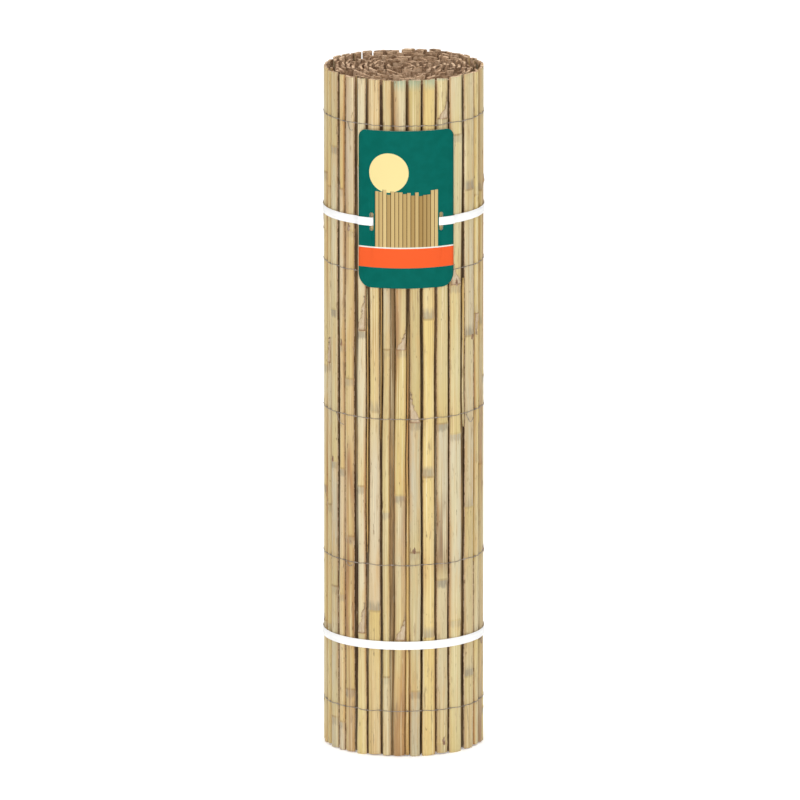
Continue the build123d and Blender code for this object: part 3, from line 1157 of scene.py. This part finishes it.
def card_outline():
    """Flat outline of the card, anticlockwise from its lower right corner."""
    half = CARD_WIDTH / 2
    low, high = CARD_BOTTOM_CORNER, CARD_TOP_CORNER
    points = rounded_corner(half - low, low, low, -90)
    points += rounded_corner(half - high, CARD_HEIGHT - high, high, 0)
    points += rounded_corner(high - half, CARD_HEIGHT - high, high, 90)
    points += rounded_corner(low - half, low, low, 180)
    return points


def slot_outline(centre_across):
    """Flat outline of a slot with round ends."""
    radius = SLOT_WIDTH / 2
    centre_up = UPPER_STRAP - CARD_BOTTOM
    reach = SLOT_HEIGHT / 2 - radius
    points = []
    for quarter, rise in enumerate((reach, reach, -reach, -reach)):
        points += rounded_corner(centre_across, centre_up + rise, radius, 90 * quarter)[quarter % 2 :]
    return points


def build_card():
    """The card: cut flat with its slots, then bent round the roll."""
    loops = [card_outline(), slot_outline(-SLOT_SPACING / 2), slot_outline(SLOT_SPACING / 2)]
    flat = [[Vector((across, up, 0)) for across, up in loop] for loop in loops]
    sheet = bmesh.new()
    corners = [sheet.verts.new(place) for loop in flat for place in loop]
    for triangle in geometry.tessellate_polygon(flat):
        sheet.faces.new([corners[number] for number in triangle])
    for strip in range(1, CARD_STRIPS):
        across = CARD_WIDTH * (strip / CARD_STRIPS - 0.5)
        parts = [*sheet.verts, *sheet.edges, *sheet.faces]
        bmesh.ops.bisect_plane(sheet, geom=parts, dist=NEAR, plane_co=(across, 0, 0), plane_no=(1, 0, 0))
    bmesh.ops.recalc_face_normals(sheet, faces=list(sheet.faces))
    print_map = sheet.loops.layers.uv.new("print")
    for face in sheet.faces:
        face.smooth = True
        for loop in face.loops:
            loop[print_map].uv = (loop.vert.co.x, loop.vert.co.y)
    card_radius = on_outer_turn(CARD_ANGLE, CARD_LIFT).length
    for corner in sheet.verts:
        across, up = corner.co.x, corner.co.y
        place = on_outer_turn(CARD_ANGLE + math.degrees(across / card_radius), CARD_LIFT + CARD_THICKNESS)
        corner.co = (place.x, place.y, CARD_BOTTOM + up)
    mesh = bpy.data.meshes.new("card")
    sheet.to_mesh(mesh)
    sheet.free()
    if sum(polygon.normal.y for polygon in mesh.polygons) > 0:
        mesh.flip_normals()
    mesh.materials.append(card_material())
    mesh.materials.append(card_core_material())
    card = add_object("card", mesh)
    board = card.modifiers.new("board", "SOLIDIFY")
    board.thickness = CARD_THICKNESS
    board.offset = -1
    board.material_offset = 1
    board.material_offset_rim = 1
    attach(card, "root")
    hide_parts("label_card")


# Floor, light and camera

VIEW_ELEVATION = 12.5
VIEW_DISTANCE = 40.0
VIEW_WIDTH = 1.158
VIEW_TARGET = Vector((-0.0032, 0.0, 0.5033))
SENSOR = 36.0
FAR_CLIP = 200
FLOOR_REACH = 60.0
SKY_STRENGTH = 0.27
LIGHT_TARGET = Vector((0, 0, 0.5))
# Large square lights: name, place, size and power
LIGHTS = [
    ("key", (-1.0, -4.4, 2.4), 1.8, 68),
    ("fill", (1.8, -4.0, 1.4), 1.8, 31),
    ("top", (0.0, 1.6, 8.0), 11.0, 790),
]


def build_stage():
    """Pale floor, white surroundings and large soft lights from the front and above."""
    mesh = bpy.data.meshes.new("floor")
    signs = [(-1, -1), (1, -1), (1, 1), (-1, 1)]
    mesh.from_pydata([(x * FLOOR_REACH, y * FLOOR_REACH, 0) for x, y in signs], [], [(0, 1, 2, 3)])
    mesh.materials.append(floor_material())
    floor = add_object("floor", mesh)
    world = bpy.data.worlds.new("studio")
    bpy.context.scene.world = world
    world.use_nodes = True
    sky = world.node_tree.nodes["Background"]
    feed(sky, Color=WHITE, Strength=SKY_STRENGTH)
    for name, place, size, power in LIGHTS:
        lamp = bpy.data.lights.new(name, "AREA")
        lamp.shape = "SQUARE"
        lamp.size = size
        lamp.energy = power
        light = add_object(name, lamp)
        light.location = place
        light.rotation_euler = (LIGHT_TARGET - Vector(place)).to_track_quat("-Z", "Y").to_euler()
    bpy.context.scene.view_settings.view_transform = "Standard"


def build_camera():
    """A long lens in front of the roll, a little above it."""
    lens = bpy.data.cameras.new("camera")
    lens.sensor_width = SENSOR
    lens.lens = SENSOR * VIEW_DISTANCE / VIEW_WIDTH
    lens.clip_end = FAR_CLIP
    camera = add_object("camera", lens)
    tilt = math.radians(VIEW_ELEVATION)
    camera.location = VIEW_TARGET + Vector((0, -math.cos(tilt), math.sin(tilt))) * VIEW_DISTANCE
    camera.rotation_euler = (VIEW_TARGET - camera.location).to_track_quat("-Z", "Y").to_euler()
    bpy.context.scene.camera = camera


skin, end = skin_material(), end_material()
cane_looks = build_canes(skin, end)
build_trimmings(cane_looks)
build_wires(cane_looks, wire_material())
build_straps(strap_material())
build_card()
build_stage()
build_camera()
